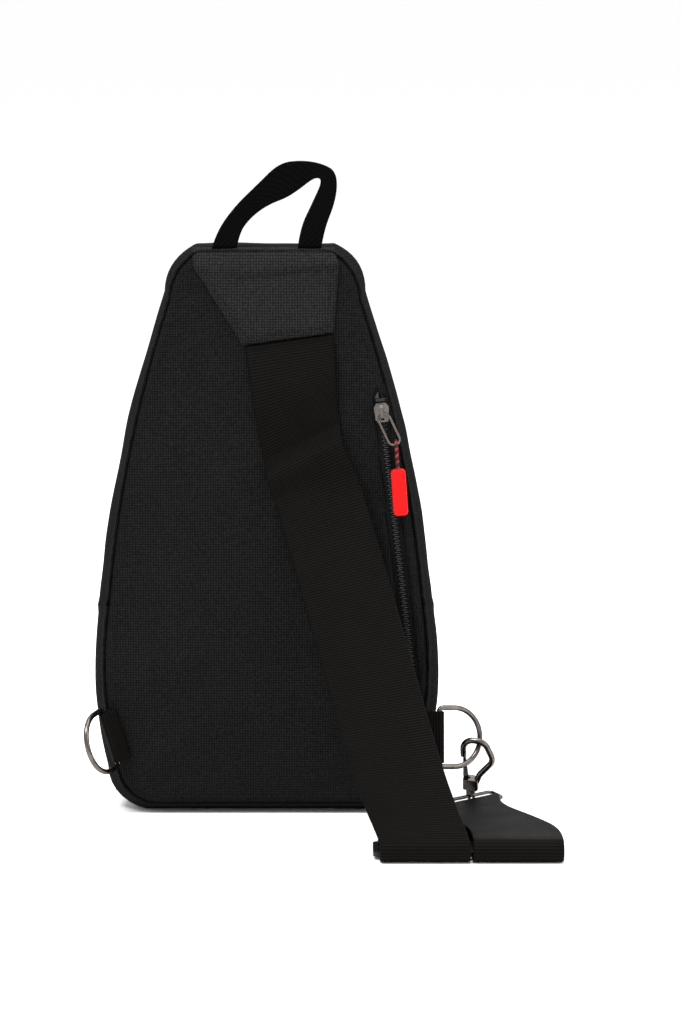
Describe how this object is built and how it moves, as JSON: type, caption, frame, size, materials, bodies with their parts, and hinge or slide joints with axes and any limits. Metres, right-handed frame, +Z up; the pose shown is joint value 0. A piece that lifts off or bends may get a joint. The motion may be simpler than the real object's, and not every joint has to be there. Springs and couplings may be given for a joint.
{
  "type": "sling bag",
  "caption": "Padded teardrop sling bag standing on its base, with a wide webbing strap, swivel snap hook, side D-rings, grab handle and zips with red rubber pulls.",
  "frame": {"origin": "centre of the flat base, on the floor", "axes": "+Z up, -Y the back panel that lies against the wearer, +X the side with the back zip and the snap hook"},
  "size_m": [0.2708, 0.2082, 0.3775],
  "materials": {
    "body_fabric": "matt charcoal woven polyester with a fine fleck",
    "yoke_fabric": "matt lighter charcoal woven polyester",
    "handle_webbing": "near-black webbing with a diagonal basket weave",
    "strap_webbing": "warm black ribbed webbing with a slight sheen",
    "foam": "closed-cell foam, hidden",
    "lining_fabric": "thin plain lining",
    "board_plastic": "thin stiffening board, hidden",
    "adjuster_plastic": "black moulded plastic",
    "zip_tape": "black knitted tape",
    "zip_coil": "black nylon coil",
    "pull_cord": "black braided cord with red flecks",
    "red_rubber": "bright red satin rubber",
    "gunmetal": "dark nickel plate, polished"
  },
  "bodies": {
    "bag": {"lower_gusset": "body_fabric", "zip_gusset_back": "body_fabric", "zip_gusset_front": "body_fabric", "back_panel": "body_fabric", "back_foam": "foam", "front_panel": "body_fabric", "front_foam": "foam", "lining": "lining_fabric", "back_pocket_bag": "lining_fabric", "front_pocket_bag": "lining_fabric", "base_board": "board_plastic", "back_zip_tapes": "zip_tape", "back_zip_coil": "zip_coil", "back_zip_stops": "zip_coil", "front_zip_tapes": "zip_tape", "front_zip_coil": "zip_coil", "front_zip_stops": "zip_coil", "main_zip_tapes": "zip_tape", "main_zip_coil": "zip_coil", "yoke": "yoke_fabric", "left_d_tab": "strap_webbing", "right_d_tab": "strap_webbing", "strap": "strap_webbing", "strap_adjuster": "adjuster_plastic"},
    "back_zip_slide": {"back_zip_slider": "gunmetal"},
    "back_puller": {"back_zip_puller": "gunmetal"},
    "back_pull": {"back_zip_cord": "pull_cord", "back_zip_pull_end": "red_rubber"},
    "front_zip_slide": {"front_zip_slider": "gunmetal"},
    "front_puller": {"front_zip_puller": "gunmetal"},
    "front_pull": {"front_zip_cord": "pull_cord", "front_zip_pull_end": "red_rubber"},
    "main_zip_slide": {"main_zip_slider": "gunmetal"},
    "main_puller": {"main_zip_puller": "gunmetal"},
    "main_pull": {"main_zip_cord": "pull_cord", "main_zip_pull_end": "red_rubber"},
    "left_ring": {"left_d_ring": "gunmetal"},
    "right_ring": {"right_d_ring": "gunmetal"},
    "strap_end_ring": {"strap_ring": "gunmetal"},
    "swivel": {"swivel_eye": "gunmetal"},
    "hook": {"hook_body": "gunmetal", "gate_pin": "gunmetal"},
    "gate": {"hook_gate": "gunmetal"},
    "handle": {"grab_handle": "handle_webbing"}
  },
  "joints": [
    {"name": "back_zip_travel", "type": "slide", "parent": "bag", "child": "back_zip_slide", "axis": [0.1168, 0, -0.9932], "range_m": [0, 0.066]},
    {"name": "front_zip_travel", "type": "slide", "parent": "bag", "child": "front_zip_slide", "axis": [-0.4948, 0.0788, -0.8654], "range_m": [0, 0.148]},
    {"name": "main_zip_travel", "type": "hinge", "parent": "bag", "child": "main_zip_slide", "pos_m": [0.72695, 0.01922, 0.05307], "axis": [0, 0.9986, 0.0523], "range_deg": [0, 11]},
    {"name": "back_puller_swing", "type": "hinge", "parent": "back_zip_slide", "child": "back_puller", "pos_m": [0.06667, -0.0448, 0.23386], "axis": [-0.9018, 0, -0.4322], "range_deg": [0, 120]},
    {"name": "back_pull_swing", "type": "hinge", "parent": "back_puller", "child": "back_pull", "pos_m": [0.07471, -0.04675, 0.21709], "axis": [-0.9976, 0, -0.0699], "range_deg": [0, 55]},
    {"name": "front_puller_swing", "type": "hinge", "parent": "front_zip_slide", "child": "front_puller", "pos_m": [0.03345, 0.02676, 0.25339], "axis": [1, -0.0001, 0.0007], "range_deg": [0, 120]},
    {"name": "front_pull_swing", "type": "hinge", "parent": "front_puller", "child": "front_pull", "pos_m": [0.03346, 0.03039, 0.23505], "axis": [1, -0.0001, 0.0007], "range_deg": [0, 55]},
    {"name": "main_puller_swing", "type": "hinge", "parent": "main_zip_slide", "child": "main_puller", "pos_m": [-0.08956, 0.01466, 0.14013], "axis": [0, 0.9986, 0.0523], "range_deg": [0, 120]},
    {"name": "main_pull_swing", "type": "hinge", "parent": "main_puller", "child": "main_pull", "pos_m": [-0.0935, 0.01561, 0.12188], "axis": [0, 0.9986, 0.0523], "range_deg": [0, 55]},
    {"name": "left_ring_swing", "type": "hinge", "parent": "bag", "child": "left_ring", "pos_m": [-0.0895, -0.048, 0.047], "axis": [-0.287, 0, 0.9579], "range_deg": [-85, 75]},
    {"name": "right_ring_swing", "type": "hinge", "parent": "bag", "child": "right_ring", "pos_m": [0.1, -0.0434, 0.046], "axis": [0, 0.208, 0.9781], "range_deg": [-1, 1]},
    {"name": "strap_ring_swing", "type": "hinge", "parent": "bag", "child": "strap_end_ring", "pos_m": [0.11626, -0.03847, 0.00472], "axis": [0.7996, 0.5997, 0.03], "range_deg": [-1, 1]},
    {"name": "eye_swing", "type": "hinge", "parent": "strap_end_ring", "child": "swivel", "pos_m": [0.119, -0.02214, 0.00645], "axis": [0.7996, 0.5997, 0.03], "range_deg": [-1, 1]},
    {"name": "hook_swivel", "type": "hinge", "parent": "swivel", "child": "hook", "pos_m": [0.119, -0.026, 0.016], "axis": [0, -0.3746, 0.9272], "range_deg": [-1, 1]},
    {"name": "gate_snap", "type": "hinge", "parent": "hook", "child": "gate", "pos_m": [0.11648, -0.02587, 0.01735], "axis": [0.2411, 0.8998, 0.3636], "range_deg": [0, 25], "stiffness_Nm_per_rad": 0.05, "springref_deg": -11.46},
    {"name": "handle_flop", "type": "hinge", "parent": "bag", "child": "handle", "pos_m": [0, -0.037, 0.328], "axis": [1, 0, 0], "range_deg": [-35, 60], "stiffness_Nm_per_rad": 0.02}
  ]
}
